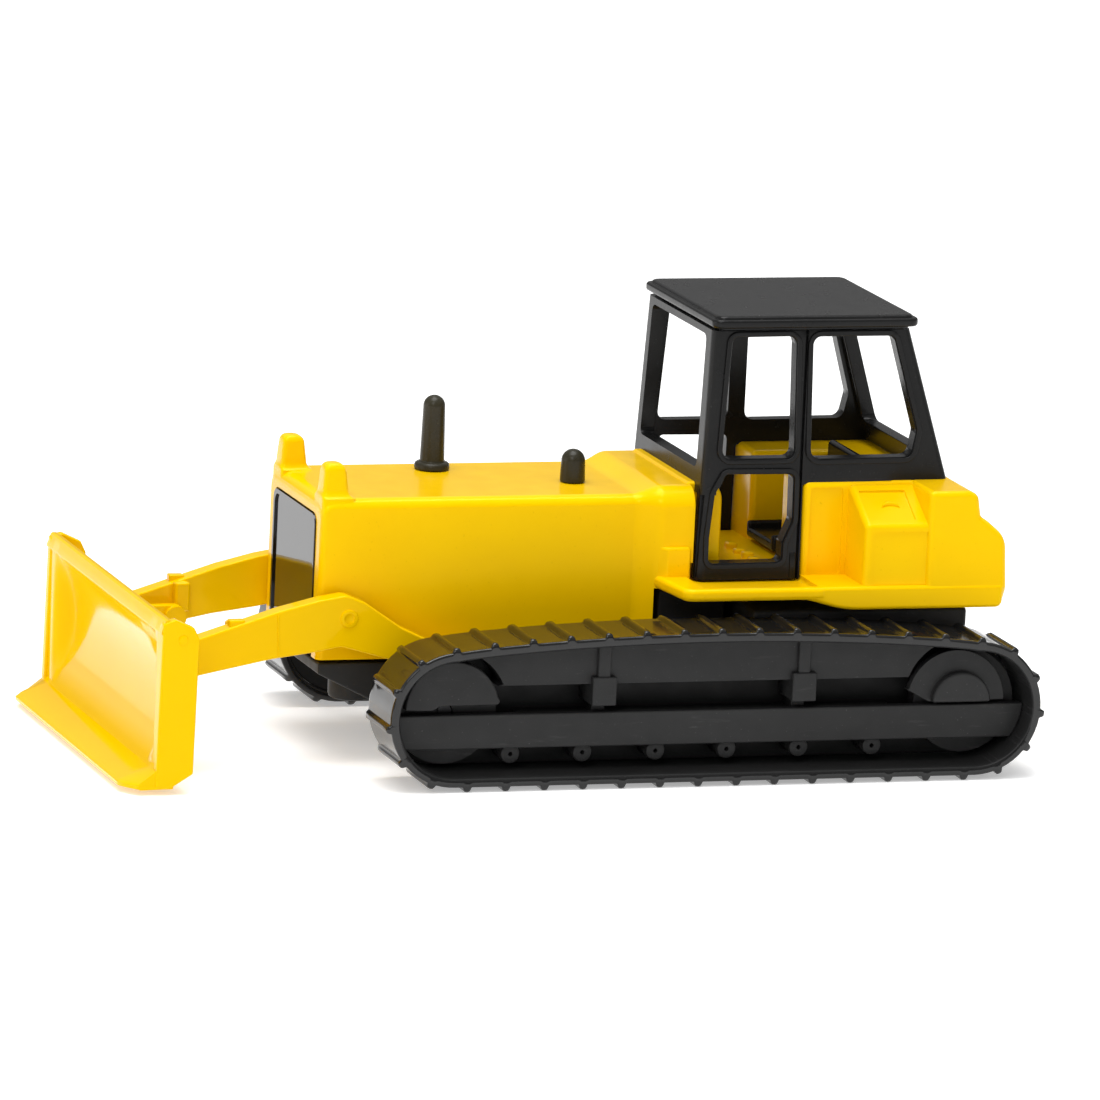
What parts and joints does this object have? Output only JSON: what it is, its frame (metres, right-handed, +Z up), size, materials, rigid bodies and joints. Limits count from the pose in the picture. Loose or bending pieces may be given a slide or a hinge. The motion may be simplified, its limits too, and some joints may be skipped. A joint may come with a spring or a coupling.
{
  "type": "toy bulldozer",
  "caption": "Pocket die-cast toy bulldozer: tracked undercarriage, open-window cab, exhaust stack and a curved blade on push arms that lift about a cross shaft.",
  "frame": {"origin": "on the ground, under the centre of the bounding box", "axes": "+Z up, the blade and radiator face -Y, the machine's own left side is +X"},
  "size_m": [0.041, 0.0807, 0.0383],
  "materials": {
    "die_cast_yellow": "glossy paint",
    "blade_yellow": "semi-gloss moulding",
    "cab_black": "satin moulding",
    "gloss_black": "high gloss",
    "frame_black": "satin moulding",
    "belt_black": "glossy flexible moulding",
    "stack_grey": "gloss",
    "steel": "bright"
  },
  "bodies": {
    "machine": {"body_casting": "die_cast_yellow", "grille_insert": "gloss_black", "exhaust_stack": "stack_grey", "intake_precleaner": "stack_grey", "cab_frame": "cab_black", "cab_roof": "cab_black", "driver_seat": "cab_black", "chassis_plate": "frame_black", "front_chassis_screw": "steel", "rear_chassis_screw": "steel", "arm_pivot_shaft": "steel", "left_track_belt": "belt_black", "left_track_frame": "frame_black", "left_idler_cover": "frame_black", "left_sprocket_cover": "frame_black", "right_track_belt": "belt_black", "right_track_frame": "frame_black", "right_idler_cover": "frame_black", "right_sprocket_cover": "frame_black"},
    "front_wheelset": {"front_axle": "steel", "left_front_wheel": "frame_black", "right_front_wheel": "frame_black"},
    "rear_wheelset": {"rear_axle": "steel", "left_rear_wheel": "frame_black", "right_rear_wheel": "frame_black"},
    "blade_arms": {"blade": "blade_yellow", "left_push_arm": "blade_yellow", "right_push_arm": "blade_yellow", "left_blade_pin": "blade_yellow", "right_blade_pin": "blade_yellow"}
  },
  "joints": [
    {"name": "blade_lift", "type": "hinge", "parent": "machine", "child": "blade_arms", "pos_m": [0, -0.007, 0.007], "axis": [-1, 0, 0], "range_deg": [0, 20]},
    {"name": "rear_axle_spin", "type": "hinge", "parent": "machine", "child": "rear_wheelset", "pos_m": [0, 0.03425, 0.0062], "axis": [1, 0, 0], "continuous": true},
    {"name": "front_axle_spin", "type": "hinge", "parent": "machine", "child": "front_wheelset", "pos_m": [0, -0.012, 0.0062], "axis": [1, 0, 0], "continuous": true}
  ],
  "couplings": [
    {"joint": "front_axle_spin", "follows": "rear_axle_spin", "ratio": 1}
  ]
}
